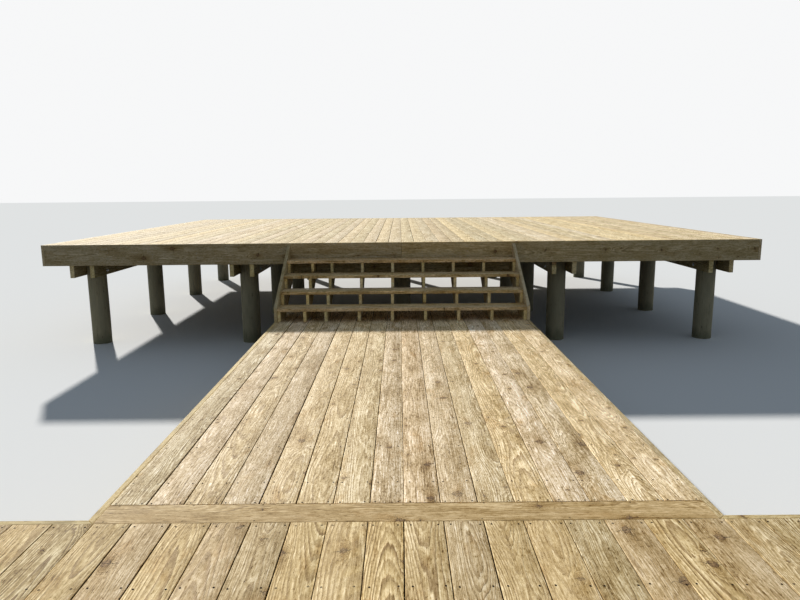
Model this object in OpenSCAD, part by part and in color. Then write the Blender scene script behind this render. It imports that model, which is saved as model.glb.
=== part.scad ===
// Wooden jetty with a low platform, a walkway, an open stair and a raised deck on round piles
// All sizes are in millimetres, +Z is up and +Y runs from the water towards the shore

/* [Overall] */
// Width of the walkway over its two rims
walkway_w = 3080; // [2500:10:3800]
// Length of the walkway from the platform to the front of the raised deck
walkway_l = 5770; // [4600:10:7000]
// Width of the low platform
platform_w = 7315; // [6000:10:9000]
// Depth of the low platform
platform_d = 3658; // [3000:10:4500]
// Width of the raised deck
deck_w = 9764; // [8000:2:11800]
// Depth of the raised deck
deck_d = 7400; // [6000:10:8900]

/* [Heights] */
// Top of the walkway and platform boards above the foot of the piles
walkway_top = 600; // [500:5:760]
// Height of each of the four treads above the one below it
riser_h = 163; // [135:1:196]
// Height of the last step, from the upper tread to the raised deck
top_riser_h = 208; // [173:1:250]

/* [Planks] */
// Thickness of every plank but the beams, laid flat or set on edge
plank_t = 38; // [31:1:46]
// Depth of the joists under the boards
joist_h = 184; // [153:1:221]
// Depth of the beam planks bolted to the piles
beam_h = 235; // [195:1:282]
// Thickness of the beam planks
beam_t = 60; // [50:1:72]
// Depth of the fascia planks round the raised deck
fascia_h = 286; // [238:1:344]
// Depth of the rim planks round the walkway and the platform
rim_h = 235; // [195:1:282]
// Distance from one joist to the next, the odd bay left at the far end
joist_spacing = 488; // [400:1:600]
// Distance from the joint at the transition board to the next joist of the walkway
first_joist_bay = 240; // [200:1:300]
// Width of the board laid crosswise between the walkway and the platform
transition_w = 184; // [153:1:221]
// Gap between the ends of boards that meet
board_gap = 4; // [3:0.5:6]
// Width of the slant that eases the long edges of a plank
edge_ease = 3; // [1:0.5:6]

/* [Stair] */
// Depth of one step from riser to riser
tread_run = 274; // [228:1:329]
// How far each tread stands out in front of its riser line
nosing = 14; // [8:1:24]
// Gap between the two boards of a tread
tread_gap = 5; // [3:1:8]
// Depth of the plank each stringer is cut from
stringer_h = 286; // [250:1:330]
// Depth of the side boards that close the stair
side_board_h = 286; // [250:1:330]
// Depth of the board the stringers hang on below the fascia
hanger_h = 184; // [153:1:221]
// How far the side boards stand above the front edges of the treads
side_board_lip = 13; // [5:1:30]
// How far the side boards stop below the top of the raised deck
side_board_drop = 30; // [5:1:50]
// Distance between the regular stringers, counted from the right
stringer_spacing = 400; // [335:1:480]
// Distance from the last regular stringer to the extra one that fills a wide bay on the left
filler_spacing = 255; // [213:1:306]

/* [Piles] */
// Diameter of the round piles
pile_d = 264; // [220:1:317]
// Depth of the flat notch cut on each side of a pile for its beam planks
notch_depth = 24; // [20:0.1:28.8]
// How far a pile stops below the top of its beams
pile_drop = 10; // [5:1:20]
// Distance from the side of the raised deck to its outer line of piles
deck_line_inset = 510; // [425:1:612]
// How far the line of piles right of the middle one stands out beyond an even spacing
right_line_shift = 40; // [0:1:48]
// Distance from the front and back of the raised deck to the nearest row of piles
deck_row_inset = 457; // [380:1:550]
// Distance from the side of the walkway to its line of piles
walkway_line_inset = 473; // [395:1:560]
// Distance from the shore end of the walkway to its last row of piles
walkway_row_inset = 290; // [240:1:350]
// Distance from the side of the platform to its outer line of piles
platform_line_inset = 457; // [380:1:550]
// Distance from the long sides of the platform to the nearest row of piles
platform_row_inset = 762; // [635:1:900]

/* [Fit] */
// Space left between pieces that bear on each other
seat = 0.3; // [0.2:0.05:0.5]
// Space between two beam planks that meet end to end at a pile
splice_gap = 3; // [2:0.5:5]

/* [Hidden] */
// Positions along the jetty
total_l = platform_d + walkway_l + deck_d;
y_water = -total_l / 2;
y_platform = y_water + platform_d;
y_deck = y_platform + walkway_l;
y_shore = y_deck + deck_d;
y_stair = y_deck - 4 * tread_run;
y_splice = y_platform - platform_row_inset;
y_transition = y_platform - plank_t;

// Levels of the raised deck
deck_top = walkway_top + 4 * riser_h + top_riser_h;
deck_joist_top = deck_top - plank_t - seat;
deck_joist_bottom = deck_joist_top - joist_h;
deck_beam_top = deck_joist_bottom - seat;
deck_beam_bottom = deck_beam_top - beam_h;
deck_fascia_bottom = deck_top - fascia_h;

// Levels of the walkway and the platform
low_joist_top = walkway_top - plank_t - seat;
low_joist_bottom = low_joist_top - joist_h;
low_beam_top = low_joist_bottom - seat;
low_beam_bottom = low_beam_top - beam_h;
low_rim_bottom = walkway_top - rim_h;

// Half widths between the rims
deck_half = deck_w / 2;
deck_inner = deck_half - plank_t - seat;
walkway_half = walkway_w / 2;
walkway_inner = walkway_half - plank_t - seat;
platform_half = platform_w / 2;
platform_inner = platform_half - plank_t - seat;

// Lines and rows of piles
pile_flat = pile_d / 2 - notch_depth;
beam_offset = pile_flat + seat;
deck_line_step = (deck_w - 2 * deck_line_inset) / 4;
deck_lines = [
    -2 * deck_line_step,
    -deck_line_step,
    0,
    deck_line_step + right_line_shift,
    2 * deck_line_step
];
deck_row_step = (deck_d - 2 * deck_row_inset) / 3;
deck_row_front = y_deck + deck_row_inset;
walkway_line = walkway_half - walkway_line_inset;
platform_line = platform_half - platform_line_inset;
platform_lines = [-platform_line, -walkway_line, walkway_line, platform_line];
walkway_row_last = y_deck - walkway_row_inset;
walkway_row_step = (walkway_row_last - y_splice) / 3;

// Stair shape
pitch = riser_h / tread_run;
pitch_length = sqrt(1 + pitch * pitch);
tread_board_w = (tread_run + nosing - tread_gap) / 2;
stringer_outer = walkway_inner - plank_t / 2;
stringer_bays = floor((2 * stringer_outer - filler_spacing) / stringer_spacing);
stringer_rest = 2 * stringer_outer - stringer_bays * stringer_spacing;
stringer_regular = [for (i = [0 : stringer_bays]) stringer_outer - i * stringer_spacing];
stringer_filler = stringer_rest > stringer_spacing ? [stringer_rest - stringer_outer - filler_spacing] : [];
stringer_x = concat(stringer_regular, stringer_filler, [-stringer_outer]);

// Retreat of each mitred end that leaves the seat between two mitre faces
mitre_gap = seat * sqrt(0.5);
// How far a cutting shape reaches past the plank that it trims
cut_margin = 10;

pine = [0.80, 0.70, 0.50];
pine_light = [0.86, 0.77, 0.58];
pine_dark = [0.70, 0.61, 0.43];
pile_wood = [0.62, 0.58, 0.45];

// Decking laid as one slab, given by its two opposite corners
module decking(low, high) {
    translate(low)
        cube(high - low);
}

// Cross section of a plank with its long edges eased
module plank_section(width, height) {
    polygon([
        [edge_ease, 0],
        [width - edge_ease, 0],
        [width, edge_ease],
        [width, height - edge_ease],
        [width - edge_ease, height],
        [edge_ease, height],
        [0, height - edge_ease],
        [0, edge_ease]
    ]);
}

// Plank that runs across the jetty, given by its two opposite corners
module plank_across(low, high) {
    translate(low)
        rotate([90, 0, 90])
            linear_extrude(height = high.x - low.x)
                plank_section(high.y - low.y, high.z - low.z);
}

// Plank that runs along the jetty, given by its two opposite corners
module plank_along(low, high) {
    translate([low.x, high.y, low.z])
        rotate([90, 0, 0])
            linear_extrude(height = high.y - low.y)
                plank_section(high.x - low.x, high.z - low.z);
}

// Joists whose centres are counted from one end of a deck to the other
module joist_row(x_left, x_right, y_start, y_end, first_bay, joist_bottom) {
    way = sign(y_end - y_start);
    reach = abs(y_end - y_start);
    bays = floor((reach - first_bay - 2 * plank_t) / joist_spacing);
    for (step = concat([0], [for (i = [0 : bays]) first_bay + i * joist_spacing], [reach]))
        plank_across(
            [x_left, y_start + way * step - plank_t / 2, joist_bottom],
            [x_right, y_start + way * step + plank_t / 2, joist_bottom + joist_h]
        );
}

// Two beam planks on edge that clasp one line of piles
module beam_pair(x, y_from, y_to, beam_bottom) {
    for (left = [x - beam_offset - beam_t, x + beam_offset])
        plank_along(
            [left, y_from, beam_bottom],
            [left + beam_t, y_to, beam_bottom + beam_h]
        );
}

// Round pile with a flat notch on each side whose shoulder carries a beam plank
module pile(x, y, beam_bottom) {
    top = beam_bottom + beam_h - pile_drop;
    translate([x, y, 0])
        difference() {
            cylinder(d = pile_d, h = top, $fn = 48);
            for (side = [-1, 1])
                translate([side * (pile_flat + pile_d / 2), 0, beam_bottom - seat + top / 2])
                    cube([pile_d, 2 * pile_d, top], center = true);
        }
}

// Row of piles under the raised deck
module deck_pile_row(index) {
    for (x = deck_lines)
        pile(x, deck_row_front + index * deck_row_step, deck_beam_bottom);
}

// Outline in plan, taller than a rim, that trims its ends
module rim_trim(points) {
    translate([0, 0, low_rim_bottom - cut_margin])
        linear_extrude(height = rim_h + 2 * cut_margin)
            polygon(points);
}

// Rim across the jetty whose ends are given on its outer face, with a slant of 0 or a mitre of 1 or -1
module rim_across(y_outer, inward, left, left_slant, right, right_slant) {
    y_low = min(y_outer, y_outer + inward * plank_t);
    out = y_outer - inward * cut_margin;
    in = y_outer + inward * (plank_t + cut_margin);
    intersection() {
        plank_across(
            [left - 2 * plank_t, y_low, low_rim_bottom],
            [right + 2 * plank_t, y_low + plank_t, walkway_top]
        );
        rim_trim([
            [left - left_slant * cut_margin, out],
            [right - right_slant * cut_margin, out],
            [right + right_slant * (plank_t + cut_margin), in],
            [left + left_slant * (plank_t + cut_margin), in]
        ]);
    }
}

// Rim along the jetty whose ends are given on its outer face in the same way
module rim_along(x_outer, inward, near, near_slant, far, far_slant) {
    x_low = min(x_outer, x_outer + inward * plank_t);
    out = x_outer - inward * cut_margin;
    in = x_outer + inward * (plank_t + cut_margin);
    intersection() {
        plank_along(
            [x_low, near - 2 * plank_t, low_rim_bottom],
            [x_low + plank_t, far + 2 * plank_t, walkway_top]
        );
        rim_trim([
            [out, near - near_slant * cut_margin],
            [out, far - far_slant * cut_margin],
            [in, far + far_slant * (plank_t + cut_margin)],
            [in, near + near_slant * (plank_t + cut_margin)]
        ]);
    }
}

// Fascia across the raised deck in two lengths that meet over its middle line of piles
module fascia_across(y_low) {
    for (span = [[-deck_inner, -splice_gap / 2], [splice_gap / 2, deck_inner]])
        plank_across(
            [span[0], y_low, deck_fascia_bottom],
            [span[1], y_low + plank_t, deck_top]
        );
}

// Profile in the plane of the stair set upright across the jetty
module stair_profile(x, points) {
    translate([x - plank_t / 2, 0, 0])
        rotate([90, 0, 90])
            linear_extrude(height = plank_t)
                polygon(points);
}

module raised_deck_boards() {
    color(pine_light)
        decking(
            [-deck_inner, y_deck + plank_t + seat, deck_top - plank_t],
            [deck_inner, y_shore - plank_t - seat, deck_top]
        );
}

module raised_front_fascia() {
    color(pine)
        fascia_across(y_deck);
}

module raised_back_fascia() {
    color(pine)
        fascia_across(y_shore - plank_t);
}

module raised_left_fascia() {
    color(pine)
        plank_along(
            [-deck_half, y_deck, deck_fascia_bottom],
            [-deck_half + plank_t, y_shore, deck_top]
        );
}

module raised_right_fascia() {
    color(pine)
        plank_along(
            [deck_half - plank_t, y_deck, deck_fascia_bottom],
            [deck_half, y_shore, deck_top]
        );
}

module raised_deck_joists() {
    color(pine_dark)
        for (span = [[-deck_inner, -splice_gap / 2], [splice_gap / 2, deck_inner]])
            joist_row(
                span[0],
                span[1],
                y_deck + 1.5 * plank_t + seat,
                y_shore - 1.5 * plank_t - seat,
                joist_spacing,
                deck_joist_bottom
            );
}

module raised_deck_beams() {
    color(pine)
        for (x = deck_lines)
            beam_pair(x, y_deck + plank_t + seat, y_shore - plank_t - seat, deck_beam_bottom);
}

module raised_front_piles() {
    color(pile_wood)
        deck_pile_row(0);
}

module raised_second_piles() {
    color(pile_wood)
        deck_pile_row(1);
}

module raised_third_piles() {
    color(pile_wood)
        deck_pile_row(2);
}

module raised_back_piles() {
    color(pile_wood)
        deck_pile_row(3);
}

// Sawtooth stringer with a level foot, four tread seats and a plumb cut at the hanger board
module stringer(x) {
    foot = walkway_top + seat;
    first_seat = walkway_top + riser_h - plank_t - seat;
    under = first_seat - stringer_h * pitch_length;
    heel = (foot - under) / pitch;
    steps = [
        for (i = [0 : 3], j = [0, 1])
            [y_stair + (i + j) * tread_run - (i + j == 4 ? seat : 0), first_seat + i * riser_h]
    ];
    stair_profile(
        x,
        concat(
            [[y_stair, foot]],
            steps,
            [
                [y_deck - seat, under + pitch * (4 * tread_run - seat)],
                [y_stair + heel, foot]
            ]
        )
    );
}

module stair_stringers() {
    color(pine_dark)
        for (x = stringer_x)
            stringer(x);
}

module stair_hanger_board() {
    color(pine_dark)
        plank_across(
            [-walkway_half, y_deck, deck_fascia_bottom - seat - hanger_h],
            [walkway_half, y_deck + plank_t, deck_fascia_bottom - seat]
        );
}

// Tread of two flat boards between the side boards, counted from the walkway up
module tread(number) {
    back = y_stair + number * tread_run - seat;
    top = walkway_top + number * riser_h;
    for (board = [0, 1])
        plank_across(
            [-walkway_inner, back - tread_board_w - board * (tread_board_w + tread_gap), top - plank_t],
            [walkway_inner, back - board * (tread_board_w + tread_gap), top]
        );
}

module stair_tread_1() {
    color(pine_light)
        tread(1);
}

module stair_tread_2() {
    color(pine_light)
        tread(2);
}

module stair_tread_3() {
    color(pine_light)
        tread(3);
}

module stair_tread_4() {
    color(pine_light)
        tread(4);
}

// Side board whose top edge follows the front edges of the treads up to the deck
module side_board(x) {
    foot = walkway_top + seat;
    front = y_stair - nosing;
    back = y_deck - seat;
    front_top = walkway_top + riser_h + side_board_lip;
    under = front_top - side_board_h * pitch_length;
    sloping_head = front_top + pitch * (back - front);
    level_head = deck_top - side_board_drop;
    upper_end = sloping_head > level_head
        ? [[front + (level_head - front_top) / pitch, level_head], [back, level_head]]
        : [[back, sloping_head]];
    stair_profile(
        x,
        concat(
            [[front, foot], [front, front_top]],
            upper_end,
            [
                [back, under + pitch * (back - front)],
                [front + (foot - under) / pitch, foot]
            ]
        )
    );
}

module stair_left_side_board() {
    color(pine)
        side_board(-walkway_half + plank_t / 2);
}

module stair_right_side_board() {
    color(pine)
        side_board(walkway_half - plank_t / 2);
}

module walkway_boards() {
    color(pine_light)
        decking(
            [-walkway_inner, y_transition + transition_w + board_gap, walkway_top - plank_t],
            [walkway_inner, y_deck - plank_t - seat, walkway_top]
        );
}

module transition_board() {
    color(pine)
        plank_across(
            [-walkway_inner, y_transition, walkway_top - plank_t],
            [walkway_inner, y_transition + transition_w, walkway_top]
        );
}

module transition_header() {
    color(pine_dark)
        plank_across(
            [-walkway_inner, y_transition, low_joist_bottom],
            [walkway_inner, y_platform, low_joist_top]
        );
}

// Walkway rim, mitred where it meets the platform and square at the shore
module walkway_rim(side) {
    rim_along(side * walkway_half, -side, y_platform + mitre_gap, -1, y_deck, 0);
}

module walkway_left_rim() {
    color(pine)
        walkway_rim(-1);
}

module walkway_right_rim() {
    color(pine)
        walkway_rim(1);
}

module walkway_end_rim() {
    color(pine)
        plank_across(
            [-walkway_inner, y_deck - plank_t, low_rim_bottom],
            [walkway_inner, y_deck, walkway_top]
        );
}

module walkway_joists() {
    color(pine_dark)
        joist_row(
            -walkway_inner,
            walkway_inner,
            y_transition + transition_w,
            y_deck - 1.5 * plank_t - seat,
            first_joist_bay,
            low_joist_bottom
        );
}

module walkway_beams() {
    color(pine)
        for (x = [-walkway_line, walkway_line])
            beam_pair(x, y_splice + splice_gap / 2, y_deck - plank_t - seat, low_beam_bottom);
}

module walkway_piles() {
    color(pile_wood)
        for (x = [-walkway_line, walkway_line], row = [1, 2, 3])
            pile(x, y_splice + row * walkway_row_step, low_beam_bottom);
}

module platform_boards() {
    color(pine_light)
        decking(
            [-platform_inner, y_water + plank_t + seat, walkway_top - plank_t],
            [platform_inner, y_transition - seat, walkway_top]
        );
}

module platform_water_rim() {
    color(pine)
        rim_across(y_water, 1, -platform_half + mitre_gap, 1, platform_half - mitre_gap, -1);
}

// Side rim of the platform, mitred at both corners
module platform_side_rim(side) {
    rim_along(side * platform_half, -side, y_water + mitre_gap, 1, y_platform - mitre_gap, -1);
}

module platform_left_rim() {
    color(pine)
        platform_side_rim(-1);
}

module platform_right_rim() {
    color(pine)
        platform_side_rim(1);
}

// Rim on the shore side of the platform from its outer corner to the walkway, mitred at both ends
module platform_shore_rim(side) {
    ends = [side * (walkway_half + mitre_gap), side * (platform_half - mitre_gap)];
    rim_across(y_platform, -1, min(ends), -side, max(ends), -side);
}

module platform_shore_left_rim() {
    color(pine)
        platform_shore_rim(-1);
}

module platform_shore_right_rim() {
    color(pine)
        platform_shore_rim(1);
}

module platform_joists() {
    color(pine_dark)
        joist_row(
            -platform_inner,
            platform_inner,
            y_platform - 1.5 * plank_t - seat,
            y_water + 1.5 * plank_t + seat,
            joist_spacing,
            low_joist_bottom
        );
}

module platform_beams() {
    color(pine)
        union() {
            for (x = [-platform_line, platform_line])
                beam_pair(x, y_water + plank_t + seat, y_platform - plank_t - seat, low_beam_bottom);
            for (x = [-walkway_line, walkway_line])
                beam_pair(x, y_water + plank_t + seat, y_splice - splice_gap / 2, low_beam_bottom);
        }
}

module platform_water_piles() {
    color(pile_wood)
        for (x = platform_lines)
            pile(x, y_water + platform_row_inset, low_beam_bottom);
}

module platform_shore_piles() {
    color(pile_wood)
        for (x = platform_lines)
            pile(x, y_splice, low_beam_bottom);
}

raised_deck_boards();
raised_front_fascia();
raised_back_fascia();
raised_left_fascia();
raised_right_fascia();
raised_deck_joists();
raised_deck_beams();
raised_front_piles();
raised_second_piles();
raised_third_piles();
raised_back_piles();
stair_stringers();
stair_hanger_board();
stair_tread_1();
stair_tread_2();
stair_tread_3();
stair_tread_4();
stair_left_side_board();
stair_right_side_board();
walkway_boards();
transition_board();
transition_header();
walkway_left_rim();
walkway_right_rim();
walkway_end_rim();
walkway_joists();
walkway_beams();
walkway_piles();
platform_boards();
platform_water_rim();
platform_left_rim();
platform_right_rim();
platform_shore_left_rim();
platform_shore_right_rim();
platform_joists();
platform_beams();
platform_water_piles();
platform_shore_piles();
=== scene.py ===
import math
import random

import bmesh
import bpy
from mathutils import Matrix, Vector


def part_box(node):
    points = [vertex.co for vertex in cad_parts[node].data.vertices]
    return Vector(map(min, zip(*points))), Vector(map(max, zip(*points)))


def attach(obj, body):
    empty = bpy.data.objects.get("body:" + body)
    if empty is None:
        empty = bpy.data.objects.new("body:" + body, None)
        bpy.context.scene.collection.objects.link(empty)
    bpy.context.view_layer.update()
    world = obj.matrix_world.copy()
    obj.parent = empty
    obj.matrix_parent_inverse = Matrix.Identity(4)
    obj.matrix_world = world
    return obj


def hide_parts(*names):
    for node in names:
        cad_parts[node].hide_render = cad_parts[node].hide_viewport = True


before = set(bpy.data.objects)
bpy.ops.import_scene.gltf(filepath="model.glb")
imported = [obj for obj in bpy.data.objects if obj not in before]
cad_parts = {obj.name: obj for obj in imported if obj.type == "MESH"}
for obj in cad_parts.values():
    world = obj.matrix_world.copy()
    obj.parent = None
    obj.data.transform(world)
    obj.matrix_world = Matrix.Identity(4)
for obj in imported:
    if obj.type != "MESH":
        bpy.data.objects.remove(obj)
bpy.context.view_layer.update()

scene = bpy.context.scene


# small helpers

def rgb(red, green, blue):
    return (red, green, blue, 1.0)


def grey(value):
    return rgb(value, value, value)


def addObject(name, data):
    made = bpy.data.objects.new(name, data)
    scene.collection.objects.link(made)
    return made


def keepMesh(mesh, name):
    # makes an object of a working mesh
    data = bpy.data.meshes.new(name)
    mesh.to_mesh(data)
    mesh.free()
    return addObject(name, data)


def closedRings(mesh, sides, rows):
    # rings of points round +Z with faces between them and over both ends;
    # a row gives a height, a radius and, where it differs, the radius of every second point
    rings = []
    for z, *radii in rows:
        ring = []
        for i in range(sides):
            turn, radius = 2 * math.pi * i / sides, radii[i % len(radii)]
            ring.append(mesh.verts.new((radius * math.cos(turn), radius * math.sin(turn), z)))
        rings.append(ring)
    for lower, higher in zip(rings, rings[1:]):
        for i in range(sides):
            j = (i + 1) % sides
            mesh.faces.new((lower[i], lower[j], higher[j], higher[i]))
    mesh.faces.new(rings[0][::-1])
    mesh.faces.new(rings[-1])
    return rings


class Bench:
    # puts nodes into one tree and wires them
    def __init__(self, tree):
        self.tree = tree

    def put(self, kind, inputs=None, **settings):
        made = self.tree.nodes.new(kind)
        for name, value in settings.items():
            setattr(made, name, value)
        for key, value in (inputs or {}).items():
            self.feed(made.inputs[key], value)
        return made

    def first(self, kind, inputs=None, **settings):
        return self.put(kind, inputs, **settings).outputs[0]

    def feed(self, socket, value):
        if isinstance(value, bpy.types.NodeSocket):
            self.tree.links.new(value, socket)
        else:
            socket.default_value = value

    def calc(self, operation, *values):
        return self.first("ShaderNodeMath", dict(enumerate(values)), operation=operation)

    def times(self, first, second):
        return self.calc("MULTIPLY", first, second)

    def addTimes(self, value, factor, base):
        # value times factor, plus base
        return self.calc("MULTIPLY_ADD", value, factor, base)

    def centred(self, value):
        return self.calc("SUBTRACT", value, 0.5)

    def vec(self, operation, *values):
        made = self.put("ShaderNodeVectorMath", dict(enumerate(values)), operation=operation)
        return made.outputs["Value" if operation == "LENGTH" else "Vector"]

    def scaled(self, vector, factor):
        return self.first("ShaderNodeVectorMath", {0: vector, 3: factor}, operation="SCALE")

    def split(self, vector):
        return self.put("ShaderNodeSeparateXYZ", {0: vector}).outputs[:]

    def join(self, x, y, z):
        return self.first("ShaderNodeCombineXYZ", {0: x, 1: y, 2: z})

    def mix(self, share, first, second, blend="MIX"):
        sockets = {0: share, 6: first, 7: second}
        return self.put("ShaderNodeMix", sockets, data_type="RGBA", blend_type=blend).outputs[2]

    def tinted(self, colour, tint, share=None):
        # the colour times a tint, or a share of it
        full = self.mix(1.0, colour, tint, "MULTIPLY")
        return full if share is None else self.mix(share, colour, full)

    def step(self, value, low, high, toLow=0.0, toHigh=1.0):
        sockets = {0: value, 1: low, 2: high, 3: toLow, 4: toHigh}
        return self.first("ShaderNodeMapRange", sockets, interpolation_type="SMOOTHSTEP")

    def noise(self, vector, scale=1.0, detail=2.0, roughness=0.5):
        sockets = {"Vector": vector, "Scale": scale, "Detail": detail, "Roughness": roughness}
        return self.put("ShaderNodeTexNoise", sockets).outputs

    def grain(self, place, away, stretch, detail, roughness):
        # noise drawn out along a piece, and moved away by the piece's own draw
        place = self.vec("ADD", self.vec("MULTIPLY", place, stretch), away)
        return self.noise(place, 1.0, detail, roughness)

    def lineNoise(self, place, detail):
        sockets = {"W": place, "Scale": 1.0, "Detail": detail}
        return self.put("ShaderNodeTexNoise", sockets, noise_dimensions="1D").outputs

    def chance(self, number):
        # a value and a colour drawn for one number
        return self.put("ShaderNodeTexWhiteNoise", {"W": number}, noise_dimensions="1D").outputs

    def carried(self, name, output="Fac"):
        # what the piece's own points carry
        return self.put("ShaderNodeAttribute", attribute_name=name).outputs[output]

    def ramp(self, value, stops):
        made = self.put("ShaderNodeValToRGB", {0: value})
        elements = made.color_ramp.elements
        while len(elements) > 1:
            elements.remove(elements[0])
        (elements[0].position, tone), *others = stops
        elements[0].color = grey(tone)
        for place, tone in others:
            elements.new(place).color = grey(tone)
        return made.outputs[0]

    def surface(self, shader, colour, roughness, height, gloss, bump, reach=1.0):
        sockets = {"Strength": bump, "Distance": reach, "Height": height}
        self.feed(shader.inputs["Base Color"], colour)
        self.feed(shader.inputs["Roughness"], roughness)
        self.feed(shader.inputs["Normal"], self.first("ShaderNodeBump", sockets))
        shader.inputs["Specular IOR Level"].default_value = gloss

    # for the trees that make meshes

    def named(self, name, kind="FLOAT"):
        return self.first("GeometryNodeInputNamedAttribute", {"Name": name}, data_type=kind)

    def remember(self, geometry, name):
        # keeps each point's place in one copy, before the copies are moved
        place = self.first("GeometryNodeInputPosition")
        return self.first(
            "GeometryNodeStoreNamedAttribute", {"Geometry": geometry, "Name": name, "Value": place},
            data_type="FLOAT_VECTOR", domain="POINT",
        )

    def copies(self, places, shape, turned=None):
        sockets = {"Points": places, "Instance": shape, **(turned or {})}
        made = self.first("GeometryNodeInstanceOnPoints", sockets)
        return self.first("GeometryNodeRealizeInstances", {"Geometry": made})

    def shapeOf(self, thing):
        made = self.put("GeometryNodeObjectInfo", {"Object": thing}, transform_space="ORIGINAL")
        return made.outputs["Geometry"]

    def moved(self, geometry, shift):
        return self.first("GeometryNodeSetPosition", {"Geometry": geometry, "Offset": shift})

    def handOut(self, geometry, finish):
        made = self.first("GeometryNodeSetMaterial", {"Geometry": geometry, "Material": finish})
        self.put("NodeGroupOutput", {0: made})


def newMaterial(name):
    material = bpy.data.materials.new(name)
    material.use_nodes = True
    material.node_tree.nodes.clear()
    bench = Bench(material.node_tree)
    shader = bench.put("ShaderNodeBsdfPrincipled")
    bench.put("ShaderNodeOutputMaterial", {"Surface": shader.outputs[0]})
    return material, bench, shader


def newTree(name, inputs, output):
    # inputs go from a title to the kind of its socket
    tree = bpy.data.node_groups.new(name, "GeometryNodeTree")
    for title, kind in inputs.items():
        tree.interface.new_socket(title, in_out="INPUT", socket_type="NodeSocket" + kind)
    tree.interface.new_socket(output, in_out="OUTPUT", socket_type="NodeSocketGeometry")
    bench = Bench(tree)
    return tree, bench, bench.put("NodeGroupInput").outputs


def grow(name, tree, values, places, numbers=None, vectors=None):
    # runs a tree on loose points and keeps its result as a plain mesh
    mesh = bpy.data.meshes.new(name + "Places")
    mesh.from_pydata(places, [], [])
    for title, given in (numbers or {}).items():
        mesh.attributes.new(title, "FLOAT", "POINT").data.foreach_set("value", given)
    for title, given in (vectors or {}).items():
        flat = [n for vector in given for n in vector]
        mesh.attributes.new(title, "FLOAT_VECTOR", "POINT").data.foreach_set("vector", flat)
    points = addObject(name + "Places", mesh)
    modifier = points.modifiers.new("grow", "NODES")
    modifier.node_group = tree
    sockets = {s.name: s.identifier for s in tree.interface.items_tree if s.in_out == "INPUT"}
    for title, value in values.items():
        modifier[sockets[title]] = value
    bpy.context.view_layer.update()
    grown = points.evaluated_get(bpy.context.evaluated_depsgraph_get())
    piece = addObject(name, bpy.data.meshes.new_from_object(grown))
    piece.data.name = name
    points.modifiers.remove(modifier)
    bpy.data.objects.remove(points)
    return piece


# pine

pineTones = {
    "straw": rgb(0.617, 0.484, 0.286),
    "pinkish": rgb(0.628, 0.465, 0.252),
    "greenish": rgb(0.600, 0.477, 0.260),
    "golden": rgb(0.640, 0.464, 0.212),
    "latewood": rgb(0.34, 0.245, 0.15),
    "stain": rgb(0.78, 0.67, 0.50),
    "knot": rgb(0.085, 0.045, 0.020),
    "knotHeart": rgb(0.34, 0.21, 0.105),
    "crack": rgb(0.04, 0.028, 0.016),
    # paler arrises: partly real wear, partly a painted highlight where the edges catch the light
    "wornEdgeAndHighlight": rgb(1.30, 1.28, 1.22),
    # painted shade for the sides of the boards down in the gaps
    "gapPaintedShade": rgb(0.085, 0.062, 0.045),
}

deckLook = {
    "tint": rgb(1.01, 0.97, 0.92),
    "ringWidth": 0.0066, "ringDepth": 0.85, "knotShare": 0.36, "clouds": 1.0, "streaks": 1.0,
    "ends": 1.0, "bump": 1.0, "rough": 0.60, "gloss": 0.06,
}
sawnLook = {**deckLook, "ringWidth": 0.0065, "ringDepth": 0.6, "knotShare": 0.3}
pineLooks = {
    "deck": deckLook,
    # the walkway's tint, paler and bluer than the deck's, is a painted sheen of low light across
    # the boards
    "walkway": {
        **deckLook, "tint": rgb(1.24, 1.235, 1.32), "ringDepth": 0.75, "clouds": 1.2,
        "streaks": 1.15, "rough": 0.66, "gloss": 0.10,
    },
    # the raised deck's tint, paler and bluer still, is a painted sheen of sunlight at grazing
    # angles
    "paintedSheen": {
        **deckLook, "tint": rgb(1.25, 1.31, 1.46), "ringDepth": 0.7, "knotShare": 0.30,
        "clouds": 0.8, "streaks": 0.8, "bump": 0.8, "rough": 0.77, "gloss": 0.15,
    },
    "smooth": {
        **deckLook, "tint": rgb(0.785, 0.735, 0.70), "ringWidth": 0.0042, "ringDepth": 0.7,
        "knotShare": 0.25, "clouds": 0.8, "streaks": 1.1, "bump": 0.6,
    },
    "rim": {
        **sawnLook, "tint": rgb(0.90, 0.92, 0.92), "clouds": 0.7, "streaks": 0.7, "ends": 1.3,
        "bump": 0.7,
    },
    "frame": {
        **sawnLook, "tint": rgb(0.80, 0.84, 0.78), "clouds": 0.8, "streaks": 0.8, "ends": 1.75,
        "bump": 0.9,
    },
}

# each pattern's stretch across, along and through a plank, its detail and its roughness
pineGrain = {
    "ragged": ((55.0, 28.0, 55.0), 3.0, 0.7),
    "rough": ((12.0, 0.9, 12.0), 3.0, 0.6),
    "fibre": ((170.0, 4.2, 170.0), 3.0, 0.65),
    "streak": ((30.0, 1.0, 30.0), 3.0, 0.65),
    "cloud": ((8.0, 2.8, 8.0), 5.0, 0.66),
    "fleck": ((85.0, 34.0, 85.0), 3.0, 0.7),
    "thread": ((120.0, 9.0, 120.0), 2.0, 0.6),
}

# where the heart of the tree lies, from the middle of a plank
treeHeart = {
    "bends": 0.6,
    "sway": (0.14, 0.11),
    "aside": 0.17,
    "below": (-0.05, -0.09),
}

knots = {
    "cell": (0.125, 0.40),
    "scatter": 0.9,
    "radius": 0.0070,
    "radiusMore": 0.019,
    "ragged": 0.034,
    "shape": (1.0, 0.80, 0.0),
    "swirlShape": (0.8, 0.26, 0.0),
    "swirlFade": -1.6,
    "swirlPush": 3.2,
    "rim": (1.10, 0.82),
    "rings": 15.0,
    "crackHalf": (0.0030, 0.0008),
    "crackReach": (3.2, 1.4),
}

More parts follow.
